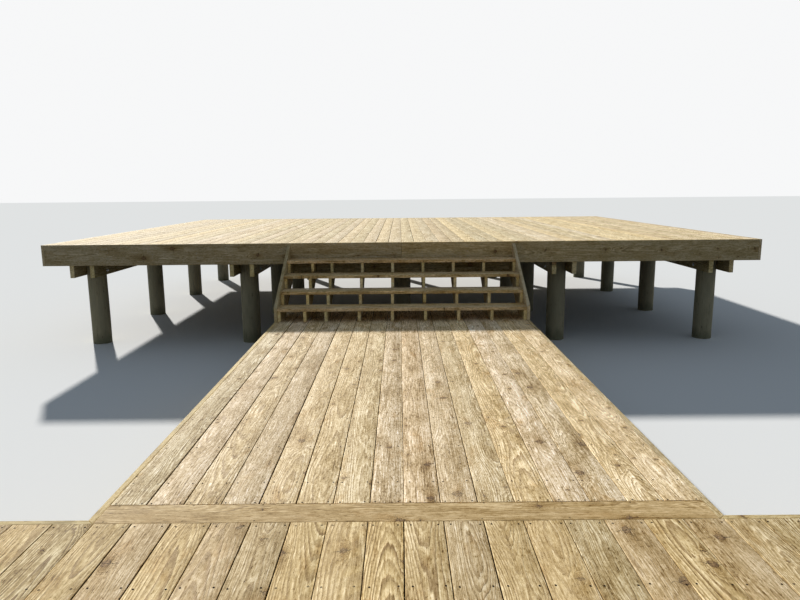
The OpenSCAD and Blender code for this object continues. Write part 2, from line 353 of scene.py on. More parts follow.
rings = {
    "wobble": 0.018,
    "fibreWobble": 0.0026,
    "narrowest": 0.65,
    "spread": 0.8,
    "late": [(0.0, 0.05), (0.40, 0.0), (0.66, 0.45), (0.80, 1.0), (0.94, 1.0), (1.0, 0.05)],
    "earlyAndRidgeHighlight": [(0.0, 0.5), (0.06, 1.0), (0.26, 0.6), (0.50, 0.0), (0.96, 0.0), (1.0, 0.5)],
}

# how far each pattern lightens or darkens the wood
pineLevels = {
    "middle": 0.88, "planks": 0.24, "clouds": 1.5, "streaks": 0.8, "fibres": 1.7, "flecks": 1.5,
    "paintedGlints": 0.40, "darkThreads": -0.38, "dashes": -0.48, "roundKnots": -0.60,
    "sawMarks": 0.03, "earlyRingsAndRidgeHighlights": 0.50, "darkest": 0.20,
}
sawMarks = {"perMetre": 560.0, "unevenness": 22.0}
pineRelief = {
    "rings": 0.0011, "fibres": 0.0014, "flecks": 0.0015, "knots": 0.00025, "cracks": -0.0008,
}


def pineShader(b, shader, local, seed, look, halfWidth, normalAlong, gapShade=None):
    # local runs across, along and through one plank, and seed differs from plank to plank;
    # odd factors spread its draws, so that no two planks show the same wood
    across, along, deep = b.split(local)
    drawn = b.put("ShaderNodeTexWhiteNoise", {"Vector": seed}, noise_dimensions="3D")
    drawn = drawn.outputs["Color"]
    chanceA, chanceB, chanceC = b.split(drawn)
    away = b.scaled(drawn, 57.0)

    def grain(name, shift=None):
        return b.grain(local, b.vec("ADD", away, shift) if shift else away, *pineGrain[name])

    # the tree's heart wanders along the plank
    wander = b.lineNoise(b.addTimes(chanceA, 91.0, b.times(along, treeHeart["bends"])), 1.5)[1]
    wanderX, wanderZ = b.split(wander)[:2]
    swayX, swayZ = treeHeart["sway"]
    below, deeper = treeHeart["below"]
    heartX = b.addTimes(b.centred(wanderX), swayX, b.times(b.centred(chanceB), treeHeart["aside"]))
    heartZ = b.addTimes(b.centred(wanderZ), swayZ, b.addTimes(chanceC, deeper, below))

    # knots, at most one in each cell
    cellWide, cellLong = knots["cell"]
    spot = b.join(
        b.addTimes(across, 1 / cellWide, b.times(chanceB, 19.0)),
        b.addTimes(along, 1 / cellLong, b.times(chanceC, 31.0)),
        0.0,
    )
    cells = b.put(
        "ShaderNodeTexVoronoi", {"Vector": spot, "Scale": 1.0, "Randomness": knots["scatter"]},
        voronoi_dimensions="2D",
    ).outputs
    fromKnot = b.vec("SUBTRACT", spot, cells["Position"])
    fromKnot = b.vec("MULTIPLY", fromKnot, (cellWide, cellLong, 0.0))
    knotChance, knotSize, knotTurn = b.split(cells["Color"])
    present = b.calc("LESS_THAN", knotChance, look["knotShare"])
    radius = b.addTimes(b.calc("POWER", knotSize, 2.0), knots["radiusMore"], knots["radius"])
    ragged = b.vec("SUBTRACT", grain("ragged")[1], (0.5, 0.5, 0.5))
    fromKnot = b.vec("ADD", fromKnot, b.scaled(ragged, knots["ragged"]))

    def radiiAway(shape):
        return b.calc("DIVIDE", b.vec("LENGTH", b.vec("MULTIPLY", fromKnot, shape)), radius)

    near, wide = radiiAway(knots["shape"]), radiiAway(knots["swirlShape"])
    fade = b.calc("POWER", b.calc("ADD", 1.0, b.times(wide, wide)), knots["swirlFade"])
    swirl = b.times(fade, present)
    knotMask = b.times(b.step(near, *knots["rim"]), present)

    # growth rings, which run round the heart and past the knots
    rough, fibre = grain("rough")[0], grain("fibre")[0]
    out = b.join(b.calc("SUBTRACT", across, heartX), b.calc("SUBTRACT", deep, heartZ), 0.0)
    out = b.vec("LENGTH", out)
    out = b.addTimes(b.centred(rough), rings["wobble"], out)
    out = b.addTimes(b.centred(fibre), rings["fibreWobble"], out)
    out = b.addTimes(b.times(swirl, radius), knots["swirlPush"], out)
    width = look["ringWidth"]
    width = b.addTimes(chanceA, width * rings["spread"], width * rings["narrowest"])
    phase = b.calc("DIVIDE", out, width)
    inRing = b.calc("FRACT", phase)
    late, earlyAndRidgeHighlight = b.ramp(inRing, rings["late"]), b.ramp(inRing, rings["earlyAndRidgeHighlight"])
    ringChance = b.chance(b.calc("ADD", b.calc("FLOOR", phase), b.times(chanceB, 517.0)))["Value"]
    late = b.times(late, b.addTimes(ringChance, 0.75, 0.25))

    # streaks, clouds, flecks, dark threads, painted glints and saw marks
    streak, cloud = grain("streak")[0], grain("cloud")
    cloudTone, cloudPatch, cloudStain = b.split(cloud[1])
    fleck, dash = b.split(grain("fleck")[1])[::2]
    # the pale threads are painted glints, thin streaks where raised grain would catch the light
    darkThread, paintedGlint = b.split(grain("thread", (7.3, 5.11, 2.19))[1])[:2]
    saw = b.addTimes(along, sawMarks["perMetre"], b.times(rough, sawMarks["unevenness"]))
    saw = b.times(b.calc("SINE", saw), b.step(cloudPatch, 0.5, 0.68))

    levels, clouds, streaks = pineLevels, look["clouds"], look["streaks"]
    level = b.addTimes(chanceC, levels["planks"], levels["middle"])
    for pattern, weight in (
        (b.centred(cloud[0]), levels["clouds"] * clouds),
        (b.centred(streak), levels["streaks"] * streaks),
        (b.centred(fibre), levels["fibres"] * streaks),
        (b.centred(fleck), levels["flecks"] * clouds),
        (b.step(paintedGlint, 0.58, 0.68), levels["paintedGlints"] * streaks),
        (b.step(darkThread, 0.58, 0.68), levels["darkThreads"] * streaks),
        (b.step(dash, 0.58, 0.66), levels["dashes"] * clouds),
        (b.times(swirl, b.step(fleck, 0.40, 0.60)), levels["roundKnots"]),
        (saw, levels["sawMarks"]),
    ):
        level = b.addTimes(pattern, weight, level)
    strength = b.times(b.step(cloudTone, 0.36, 0.58, 0.30, 1.0), b.addTimes(chanceB, 0.6, 0.55))
    strength = b.times(strength, look["ringDepth"])
    # the pale band beside each dark latewood line: partly paler earlywood, partly a painted
    # highlight on the ridge of the raised grain
    level = b.addTimes(b.times(earlyAndRidgeHighlight, strength), levels["earlyRingsAndRidgeHighlights"], level)
    level = b.calc("MAXIMUM", level, levels["darkest"])

    # colour: dark wood browner, pale wood less yellow
    tones = pineTones
    colour = b.mix(
        b.step(chanceB, 0.25, 0.75),
        b.mix(chanceA, tones["straw"], tones["pinkish"]),
        b.mix(chanceC, tones["greenish"], tones["golden"]),
    )
    shade = b.join(level, b.calc("POWER", level, 1.21), b.calc("POWER", level, 1.70))
    colour = b.tinted(b.tinted(colour, shade), look["tint"])
    colour = b.tinted(colour, tones["latewood"], b.times(late, strength))
    stain = b.times(b.step(cloudStain, 0.54, 0.72), 0.85 * clouds)
    colour = b.tinted(colour, tones["stain"], b.calc("MAXIMUM", stain, b.times(swirl, 0.95)))
    knotRing = b.step(b.calc("SINE", b.times(near, knots["rings"])), 0.1, 0.8)
    knotDark = b.calc("MAXIMUM", b.step(near, 0.45, 0.95), b.times(knotRing, 0.55))
    knotTone = b.mix(knotDark, tones["knotHeart"], tones["knot"])
    colour = b.mix(b.times(knotMask, b.step(fleck, 0.36, 0.56, 0.5, 0.95)), colour, knotTone)
    knotX, knotY = b.split(fromKnot)[:2]
    crackLine = b.calc("ABSOLUTE", b.addTimes(knotX, b.centred(knotTurn), knotY))
    crackNear = b.times(b.step(near, *knots["crackReach"]), present)
    crack = b.times(b.step(crackLine, *knots["crackHalf"]), crackNear)
    colour = b.mix(b.times(crack, 0.8), colour, tones["crack"])

    # worn arrises with a painted highlight, painted shade in the gaps and sawn ends
    arris = b.calc("DIVIDE", b.calc("ABSOLUTE", across), halfWidth)
    # the arrises lighten: partly wear, partly a painted highlight along the board edges
    wornAndHighlight = b.times(b.step(arris, 0.94, 0.985), b.step(cloudPatch, 0.36, 0.56))
    colour = b.tinted(colour, tones["wornEdgeAndHighlight"], b.times(wornAndHighlight, 0.8))
    # painted shade: the board sides darken below the top, down in the gaps
    if gapShade is not None:
        colour = b.tinted(colour, tones["gapPaintedShade"], gapShade)
    colour = b.tinted(colour, grey(look["ends"]), b.step(normalAlong, 0.6, 0.85))

    relief = pineRelief
    height = b.addTimes(late, relief["rings"], b.times(fibre, relief["fibres"]))
    height = b.addTimes(fleck, relief["flecks"], height)
    height = b.addTimes(knotMask, relief["knots"], height)
    height = b.addTimes(crack, relief["cracks"], height)
    roughness = b.addTimes(late, -0.10, b.addTimes(cloudTone, 0.20, look["rough"]))
    b.surface(shader, colour, roughness, height, look["gloss"], look["bump"])


def boardPine(look):
    # for boards laid by layBoards, which carry their own place in the board
    material, b, shader = newMaterial(look + "Pine")
    local, seed = b.carried("inBoard", "Vector"), b.join(b.carried("boardSeed"), 0.37, 0.37)
    normal = b.split(b.put("ShaderNodeTexCoord").outputs["Normal"])
    sideways = b.step(b.calc("ABSOLUTE", normal[2]), 0.7, 0.3)
    # mask for the painted shade on the board sides below the top
    gapShade = b.step(b.split(local)[2], boardSizes["unshadedAbove"], boardSizes["fullyShadedBelow"])
    half, endways = b.carried("boardHalf"), b.calc("ABSOLUTE", normal[1])
    pineShader(b, shader, local, seed, pineLooks[look], half, endways, b.times(sideways, gapShade))
    return material


def plankPine(
    name, look, order, seedShift, middle, halfWidth, repeat=(0, 0, 0), pair=None, slope=0.0,
):
    # for planks of the frame: order gives the axes across, along and through a plank, middle its
    # centre, repeat the distance to the next one and pair the axis and offset of twin planks
    material, b, shader = newMaterial(name)
    coords = b.put("ShaderNodeTexCoord")
    place, normal = coords.outputs["Object"], coords.outputs["Normal"]
    if slope:
        def level(vector, centre):
            sockets = {"Vector": vector, "Center": centre, "Angle": -slope}
            return b.first("ShaderNodeVectorRotate", sockets, rotation_type="X_AXIS")

        place, normal = level(place, middle), level(normal, (0.0, 0.0, 0.0))
    place = b.vec("SUBTRACT", place, tuple(middle))
    spacing = tuple(step or 1000.0 for step in repeat)
    count = b.vec("FLOOR", b.vec("ADD", b.vec("DIVIDE", place, spacing), (0.5, 0.5, 0.5)))
    place = b.vec("SUBTRACT", place, b.vec("MULTIPLY", count, spacing))
    parts = b.split(place)
    seed = b.vec("ADD", count, (seedShift, seedShift * 0.61, seedShift * 0.27))
    if pair:
        axis, offset = pair
        side = b.calc("GREATER_THAN", parts[axis], 0.0)
        parts[axis] = b.calc("SUBTRACT", b.calc("ABSOLUTE", parts[axis]), offset)
        seed = b.vec("ADD", seed, b.join(0.0, 0.0, b.times(side, 7.3)))
    local = b.join(*[parts["xyz".index(axis)] for axis in order])
    endways = b.calc("ABSOLUTE", b.split(normal)["xyz".index(order[1])])
    pineShader(b, shader, local, seed, pineLooks[look], halfWidth, endways)
    return material


# boards

boardSizes = {
    "edgeRadius": 0.0032,
    "below": 0.0006,
    "gap": (0.0025, 0.0072),
    "edgeShift": 0.0025,
    # the painted shade in the gaps begins below the first height and is full below the second
    "unshadedAbove": 0.0178,
    "fullyShadedBelow": 0.0125,
    "crook": 0.0022,
    "cup": 0.0007,
    "lengths": 28,
    "corner": 3,
}


def layBoardsTree():
    tree, b, given = newTree("layBoards", {
        "Places": "Geometry", "Length": "Float", "Width": "Float", "Thickness": "Float",
        "Edge radius": "Float", "Crook": "Float", "Cup": "Float", "Stations": "Int",
        "Corner steps": "Int", "Wood": "Material",
    }, "Boards")
    outline = {"Width": given["Width"], "Height": given["Thickness"]}
    section = b.first("GeometryNodeCurvePrimitiveQuadrilateral", outline)
    rounding = {"Curve": section, "Radius": given["Edge radius"], "Count": given["Corner steps"]}
    section = b.first("GeometryNodeFilletCurve", rounding, mode="POLY")
    far = b.join(0.0, given["Length"], 0.0)
    line = b.first("GeometryNodeCurvePrimitiveLine", {"Start": (0, 0, 0), "End": far})
    line = b.first("GeometryNodeResampleCurve", {"Curve": line, "Count": given["Stations"]})
    sweep = {"Curve": line, "Profile Curve": section, "Fill Caps": True}
    board = b.remember(b.first("GeometryNodeCurveToMesh", sweep), "inBoard")
    stretch = b.calc("DIVIDE", b.times(b.named("boardHalf"), 2.0), given["Width"])
    laid = b.copies(given["Places"], board, {"Scale": b.join(stretch, 1.0, 1.0)})
    # each board bends a little sideways and its edges sink below its middle
    seed = b.named("boardSeed")
    across, along = b.split(b.named("inBoard", "FLOAT_VECTOR"))[:2]
    sway = b.lineNoise(b.addTimes(seed, 83.0, b.times(along, 0.55)), 1.0)[0]
    sway = b.times(b.centred(sway), given["Crook"])
    edge = b.calc("DIVIDE", across, b.times(given["Width"], 0.5))
    sink = b.times(b.times(edge, edge), b.times(given["Cup"], seed))
    b.handOut(b.moved(laid, b.join(sway, 0.0, b.times(sink, -1.0))), given["Wood"])
    return tree


boardTree = layBoardsTree()


def layDeck(name, edges, gaps, look, dice):
    # boards between the given edges in place of one slab of the frame
    node = name + "_boards"
    low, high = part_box(node)
    sizes = boardSizes
    thick = high.z - low.z - sizes["below"]
    places, halves, seeds, spans = [], [], [], []
    for i in range(len(edges) - 1):
        left, right = edges[i] + gaps[i] / 2, edges[i + 1] - gaps[i + 1] / 2
        places.append(((left + right) / 2, low.y, low.z + thick / 2))
        halves.append((right - left) / 2)
        seeds.append(dice.random())
        spans.append((left, right))
    nominal = sum(halves) * 2 / len(halves)
    piece = grow(name + "_planks", boardTree, {
        "Length": high.y - low.y, "Width": nominal, "Thickness": thick,
        "Edge radius": sizes["edgeRadius"], "Crook": sizes["crook"], "Cup": sizes["cup"],
        "Stations": sizes["lengths"], "Corner steps": sizes["corner"], "Wood": boardPine(look),
    }, places, {"boardHalf": halves, "boardSeed": seeds})
    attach(piece, "root")
    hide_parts(node)
    return spans


# edges of the boards across each deck, in metres from the middle
walkwayEdges = [
    -1.5012, -1.318, -1.128, -0.938, -0.745, -0.557, -0.368, -0.182, -0.010,
    0.176, 0.365, 0.5525, 0.749, 0.937, 1.125, 1.3125, 1.5012,
]
platformMiddle = [
    -1.694, -1.4986, -1.3151, -1.126, -0.933, -0.7434, -0.5543, -0.3748, -0.1829, -0.0111,
    0.1808, 0.3712, 0.5601, 0.7553, 0.9471, 1.1359, 1.3277, 1.5203, 1.6933,
]
walkwayGaps = [
    0.0020, 0.0075, 0.0068, 0.0048, 0.0073, 0.0058, 0.0047, 0.0042, 0.0026,
    0.0046, 0.0045, 0.0030, 0.0040, 0.0032, 0.0030, 0.0034, 0.0022,
]
platformGaps = [
    0.0040, 0.0028, 0.0058, 0.0077, 0.0046, 0.0046, 0.0057, 0.0030, 0.0042, 0.0053,
    0.0046, 0.0046, 0.0043, 0.0036, 0.0028, 0.0024, 0.0030, 0.0028, 0.0040,
]
raisedBoards = 56
sideBoards = 10

dice = random.Random(11)


def someGaps(count):
    return [dice.uniform(*boardSizes["gap"]) for i in range(count)]


platformLow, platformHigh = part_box("platform_boards")
leftStep = (platformMiddle[0] - platformLow.x) / sideBoards
rightStep = (platformHigh.x - platformMiddle[-1]) / sideBoards
platformEdges = (
    [platformLow.x + i * leftStep for i in range(sideBoards)]
    + platformMiddle
    + [platformHigh.x - i * rightStep for i in reversed(range(sideBoards))]
)
raisedLow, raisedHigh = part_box("raised_deck_boards")
boardStep = (raisedHigh.x - raisedLow.x) / raisedBoards
raisedEdges = [raisedLow.x + i * boardStep for i in range(raisedBoards + 1)]
for i in range(1, raisedBoards):
    if i != raisedBoards // 2:
        raisedEdges[i] += dice.uniform(-boardSizes["edgeShift"], boardSizes["edgeShift"])

raisedGaps = someGaps(raisedBoards + 1)
platformGaps = someGaps(sideBoards) + platformGaps + someGaps(sideBoards)
deckSpans = {
    "raised": layDeck("raised_deck", raisedEdges, raisedGaps, "paintedSheen", random.Random(3)),
    "walkway": layDeck("walkway", walkwayEdges, walkwayGaps, "walkway", random.Random(21)),
    "platform": layDeck("platform", platformEdges, platformGaps, "deck", random.Random(34)),
}
print("boards laid:", *(len(spans) for spans in deckSpans.values()))


# planks of the frame, with their edges eased

easing = {
    "radius": 0.0028,
    "steps": 2,
    "drawnIn": 0.0005,
    "flatWithin": math.radians(1),
    "outwardFrom": math.radians(20),
}
inTwoLengths = ("raised_front_fascia", "raised_back_fascia", "raised_deck_joists")


def easePlank(node, wood, drawnIn):
    # the planks of one node, welded from its triangles, with their outward edges rounded over
    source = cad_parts[node].data
    low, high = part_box(node)
    mesh = bmesh.new()
    corners = {}
    for face in source.polygons:
        points = [source.vertices[i].co for i in face.vertices]
        inside = sum(points, Vector()) / len(points) - face.normal * 0.001
        plank = node in inTwoLengths and inside.x > 0
        loop = []
        for point in points:
            key = (plank, *(round(value, 5) for value in point))
            if key not in corners:
                corners[key] = mesh.verts.new(
                    [min(max(point[i], low[i] + drawnIn), high[i] - drawnIn) for i in range(3)]
                )
            loop.append(corners[key])
        mesh.faces.new(loop)
    bmesh.ops.dissolve_limit(
        mesh, angle_limit=easing["flatWithin"], verts=mesh.verts[:], edges=mesh.edges[:]
    )
    sharp = easing["outwardFrom"]
    outward = [edge for edge in mesh.edges if edge.calc_face_angle_signed(0.0) > sharp]
    rounded = bmesh.ops.bevel(
        mesh, geom=outward, offset=easing["radius"], offset_type="OFFSET", segments=easing["steps"],
        profile=0.5, affect="EDGES", clamp_overlap=True,
    )
    for face in rounded["faces"]:
        face.smooth = True
    piece = keepMesh(mesh, node + "_planks")
    piece.data.materials.append(wood)
    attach(piece, "root")
    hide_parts(node)


def makePlank(
    node, look, order, seedShift, x=None, y=None, drawnIn=0.0, halfWidth=None, repeat=(0, 0, 0),
    **pattern,
):
    # x and y say where the first plank lies, if not in the node's middle; two lengths meet at x = 0
    low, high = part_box(node)
    if node in inTwoLengths:
        x, repeat = high.x / 2, (high.x, *repeat[1:])
    middle = (low + high) / 2
    middle.x = middle.x if x is None else x
    middle.y = middle.y if y is None else y
    axis = "xyz".index(order[0])
    half = halfWidth or (high[axis] - low[axis]) / 2
    wood = plankPine(node + "Pine", look, order, seedShift, middle, half, repeat, **pattern)
    easePlank(node, wood, drawnIn)


planks = {
    "halfThick": 0.019,
    "joistSpacing": 0.488,
    "walkwayJoist": -4.370,
    "beamOffset": 0.1383,
    "beamHalf": 0.030,
    "raisedLineStep": 2.186,
    "rightLineShift": 0.040,
    "lowLineStep": 2.1335,
    "stairSlope": math.atan(163 / 274),
    "stairPlankHalf": 0.143,
    "stringerCell": 0.2,
    "treadOffset": 0.07325,
    "treadHalf": 0.0708,
}
spacing, raisedStep = planks["joistSpacing"], planks["raisedLineStep"]
lowStep, halfThick = planks["lowLineStep"], planks["halfThick"]

# look, axes, first seed and the step to the next one, drawn in, nodes
for look, order, seed, seedStep, drawnIn, nodes in (
    ("rim", "zxy", 3.1, 5.7, easing["drawnIn"], ("raised_front_fascia", "raised_back_fascia")),
    ("rim", "zyx", 17.3, 3.9, easing["drawnIn"], (
        "raised_left_fascia", "raised_right_fascia", "walkway_left_rim", "walkway_right_rim",
        "platform_left_rim", "platform_right_rim",
    )),
    ("rim", "zxy", 47.9, 4.3, easing["drawnIn"], (
        "walkway_end_rim", "platform_water_rim", "platform_shore_left_rim",
        "platform_shore_right_rim",
    )),
    ("frame", "zxy", 71.2, 2.7, 0.0, ("transition_header", "stair_hanger_board")),
    ("smooth", "yxz", 5.55, 0.0, 0.0, ("transition_board",)),
):
    for number, node in enumerate(nodes):
        makePlank(node, look, order, seed + number * seedStep, drawnIn=drawnIn)

joistLow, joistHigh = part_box("raised_deck_joists")
for number, (node, firstY) in enumerate((
    ("raised_deck_joists", joistLow.y + halfThick),
    ("walkway_joists", planks["walkwayJoist"]),
    ("platform_joists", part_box("platform_joists")[1].y - halfThick),
)):
    makePlank(node, "frame", "zxy", 83.0 + number * 9.1, y=firstY, repeat=(0, spacing, 0))
for number, (node, firstX, step) in enumerate((
    ("raised_deck_beams", 0.0, raisedStep),
    ("walkway_beams", lowStep / 2, lowStep),
    ("platform_beams", lowStep / 2, lowStep),
)):
    makePlank(
        node, "frame", "zyx", 113.0 + number * 6.3, firstX, repeat=(step, 0, 0),
        pair=(0, planks["beamOffset"]),
    )

for number in range(1, 5):
    makePlank(
        "stair_tread_%d" % number, "deck", "yxz", 131.0 + number * 7.7,
        pair=(1, planks["treadOffset"]), halfWidth=planks["treadHalf"],
    )
onSlope = {"halfWidth": planks["stairPlankHalf"], "slope": planks["stairSlope"]}
for number, node in enumerate(("stair_left_side_board", "stair_right_side_board")):
    makePlank(node, "rim", "zyx", 151.0 + number * 3.3, **onSlope)
lastX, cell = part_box("stair_stringers")[1].x - halfThick, planks["stringerCell"]
makePlank("stair_stringers", "frame", "zyx", 163.0, lastX, repeat=(cell, 0, 0), **onSlope)
print("frame planks eased")


# piles

pileLook = {
    "base": rgb(0.37, 0.35, 0.235),
    "warm": rgb(0.44, 0.37, 0.22),
    "check": rgb(0.06, 0.05, 0.035),
    "knot": rgb(0.13, 0.09, 0.045),
    "wet": rgb(0.16, 0.165, 0.10),
    "wetHeight": (0.20, 0.03),
    "gloss": 0.3,
    "bump": 0.9,
}
pileSizes = {
    "radius": 0.132,
    "flat": 0.1080,
    "around": 48,
    "ringStep": 0.06,
    "cutRings": 5,
    "swell": 0.006,
    "lowShoulder": 0.1421,
    "lowTop": 0.3674,
    "raisedShoulder": 1.0021,
    "raisedTop": 1.2274,
    "smoothWithin": math.radians(40),
}


def pileMaterial():
    material, b, shader = newMaterial("polePine")
    local = b.carried("inPile", "Vector")
    drawn = b.chance(b.times(b.carried("pileSeed"), 977.0))["Color"]
    away = b.scaled(drawn, 41.0)
    chanceA, chanceB = b.split(drawn)[:2]
    x, y, z = b.split(local)
    fibre = b.grain(local, away, (120.0, 120.0, 4.0), 3.0, 0.6)[0]
    cloud = b.grain(local, away, (9.0, 9.0, 2.4), 3.0, 0.6)[0]
    split = b.grain(local, away, (30.0, 30.0, 1.1), 2.0, 0.5)[0]
    check = b.step(b.calc("ABSOLUTE", b.centred(split)), 0.007, 0.001)
    check = b.times(check, b.step(cloud, 0.46, 0.56))
    warmth = b.addTimes(chanceA, 0.5, b.times(cloud, 0.6))
    colour = b.mix(warmth, pileLook["base"], pileLook["warm"])
    level = b.addTimes(b.centred(fibre), 0.6, b.addTimes(cloud, 0.7, 0.62))
    colour = b.tinted(colour, b.join(level, level, level))
    damp = b.addTimes(b.centred(cloud), 0.35, z)
    colour = b.mix(b.times(b.step(damp, *pileLook["wetHeight"]), 0.75), colour, pileLook["wet"])
    around = b.times(b.calc("ARCTAN2", y, x), 1.3)
    knotPoint = b.join(around, b.times(z, 4.0), b.times(chanceB, 20.0))
    cells = b.put("ShaderNodeTexVoronoi", {"Vector": knotPoint, "Scale": 1.5}).outputs
    knotMask = b.step(cells["Distance"], 0.13, 0.07)
    colour = b.mix(b.times(knotMask, 0.6), colour, pileLook["knot"])
    colour = b.mix(b.times(check, 0.85), colour, pileLook["check"])
    height = b.addTimes(fibre, 0.0006, b.addTimes(knotMask, 0.0012, b.times(check, -0.004)))
    roughness = b.addTimes(fibre, 0.2, 0.65)
    b.surface(shader, colour, roughness, height, pileLook["gloss"], pileLook["bump"])
    return material


def pileTree():
    tree, b, given = newTree("standPiles", {
        "Places": "Geometry", "Log": "Object", "Radius": "Float", "Flat": "Float", "Swell": "Float",
        "Wood": "Material",
    }, "Piles")
    stood = b.copies(given["Places"], b.remember(b.shapeOf(given["Log"]), "inPile"))
    local = b.named("inPile", "FLOAT_VECTOR")
    x, y, z = b.split(local)
    # the log's own unevenness only takes wood away
    place = b.vec("MULTIPLY", local, (7.0, 7.0, 2.2))
    place = b.vec("ADD", place, b.join(0.0, 0.0, b.times(b.named("pileSeed"), 61.0)))
    loss = b.times(b.noise(place)[0], given["Swell"])
    keep = b.calc("SUBTRACT", 1.0, b.calc("DIVIDE", loss, given["Radius"]))
    newX, newY = b.times(x, keep), b.times(y, keep)
    # above the shoulder two sides are cut flat for the beams
    flatX = b.calc("MAXIMUM", newX, b.times(given["Flat"], -1.0))
    flatX = b.calc("MINIMUM", flatX, given["Flat"])
    newX = b.first("ShaderNodeMix", {0: b.named("cutBack"), 2: newX, 3: flatX}, data_type="FLOAT")
    b.handOut(b.moved(stood, b.vec("SUBTRACT", b.join(newX, newY, z), local)), given["Wood"])
    return tree


def makeLog(shoulder, top):
    # one upright log, its cut part marked from the shoulder up
    steps, cutSteps = max(3, round(shoulder / pileSizes["ringStep"])), pileSizes["cutRings"]
    rows = [(shoulder * i / steps, 0.0) for i in range(steps + 1)]
    rows += [(shoulder + (top - shoulder) * i / cutSteps, 1.0) for i in range(cutSteps + 1)]
    mesh = bmesh.new()
    cutBack = mesh.verts.layers.float.new("cutBack")
    made = closedRings(mesh, pileSizes["around"], [(z, pileSizes["radius"]) for z, cut in rows])
    for ring, (z, cut) in zip(made, rows):
        for vert in ring:
            vert[cutBack] = cut
    return keepMesh(mesh, "log")


poleWood = pileMaterial()
standPiles = pileTree()
raisedLines = [step * raisedStep for step in (-2, -1, 0, 1, 2)]
raisedLines[3] += planks["rightLineShift"]
platformLines = (-3.2005, -1.067, 1.067, 3.2005)
pileRows = {
    name: ([(x, y) for x in lines for y in rows], height) for name, lines, rows, height in (
        ("raised_front_piles", raisedLines, (1.471,), "raised"),
        ("raised_second_piles", raisedLines, (3.633,), "raised"),
        ("raised_third_piles", raisedLines, (5.795,), "raised"),
        ("raised_back_piles", raisedLines, (7.957,), "raised"),
        ("walkway_piles", (-1.067, 1.067), (-3.4373, -1.3567, 0.724), "low"),
        ("platform_water_piles", platformLines, (-7.652,), "low"),
        ("platform_shore_piles", platformLines, (-5.518,), "low"),
    )
}
dice = random.Random(5)
for node, (places, height) in pileRows.items():
    log = makeLog(pileSizes[height + "Shoulder"], pileSizes[height + "Top"])
    seeds = [dice.random() for place in places]
    logs = grow(node.replace("_piles", "_logs"), standPiles, {
        "Log": log, "Radius": pileSizes["radius"], "Flat": pileSizes["flat"],
        "Swell": pileSizes["swell"], "Wood": poleWood,
    }, [(x, y, 0.0) for x, y in places], {"pileSeed": seeds})
    logs.data.shade_smooth()
    logs.data.set_sharp_from_angle(angle=pileSizes["smoothWithin"])
    bpy.data.objects.remove(log)
    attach(logs, "root")
    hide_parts(node)
print("piles stood")


# screws, nails and bolts

# colour, darker colour, roughness, metallic, scale of the patches, gloss
coatings = {
    # the screw heads' near-black brown is partly the coating and partly painted shade standing in
    # for the sunk holes
    "screwCoatingAndHoleShade": (rgb(0.040, 0.023, 0.014), rgb(0.018, 0.011, 0.007), 0.70, 0.0, 300.0, 0.04),
    "zincCoating": (rgb(0.56, 0.57, 0.57), rgb(0.36, 0.37, 0.37), 0.38, 0.9, 160.0, 0.5),
}


def metal(name):
    colour, darker, roughness, metallic, scale, gloss = coatings[name]
    material, b, shader = newMaterial(name)
    place = b.put("ShaderNodeTexCoord").outputs["Object"]
    patches = b.noise(place, scale, 3.0, 0.6)[0]
    fine = b.noise(place, scale * 7, 2.0, 0.6)[0]
    share = b.addTimes(fine, 0.4, b.calc("SUBTRACT", b.step(patches, 0.35, 0.65), 0.2))
    roughness = b.addTimes(patches, 0.3, roughness)
    b.surface(shader, b.mix(share, colour, darker), roughness, fine, gloss, 0.4, 0.001)
    shader.inputs["Metallic"].default_value = metallic
    return material


def fixingTree():
    tree, b, given = newTree("setFixings", {
        "Places": "Geometry", "Shape": "Object", "Diameter": "Float", "Height": "Float",
        "Spin": "Float", "Seed": "Int", "Metal": "Material",
    }, "Fixings")
    facing = b.named("facing", "FLOAT_VECTOR")
    turned = b.first("FunctionNodeAlignRotationToVector", {"Vector": facing}, axis="Z")
    draw = {2: 0.0, 3: given["Spin"], "Seed": given["Seed"]}
    angle = b.put("FunctionNodeRandomValue", draw, data_type="FLOAT").outputs[1]
    spin = b.first("FunctionNodeAxisAngleToRotation", {"Axis": (0, 0, 1), "Angle": angle})
    both = {"Rotation": turned, "Rotate By": spin}
    turned = b.first("FunctionNodeRotateRotation", both, rotation_space="LOCAL")
    size = b.join(given["Diameter"], given["Diameter"], given["Height"])
    shape = b.shapeOf(given["Shape"])
    placed = b.copies(given["Places"], shape, {"Rotation": turned, "Scale": size})
    b.handOut(placed, given["Metal"])
    return tree


def turnedShape(name, sides, rows):
    # one unit across and one unit high, stretched by the tree
    mesh = bmesh.new()
    closedRings(mesh, sides, rows)
    return keepMesh(mesh, name)


bolts = {
    "washer": 0.044, "washerThick": 0.0035, "washerEdge": (0.0006, 0.0008),
    "head": 0.0265, "headHigh": 0.0100, "nutHigh": 0.0140, "easedFrom": 0.0018, "easedTo": 0.87,
    "rod": 0.0160, "rodOut": 0.0120, "threads": 5, "threadRoot": 0.9,
    "fromShoulder": 0.062, "apart": 0.110, "stagger": 0.040,
}


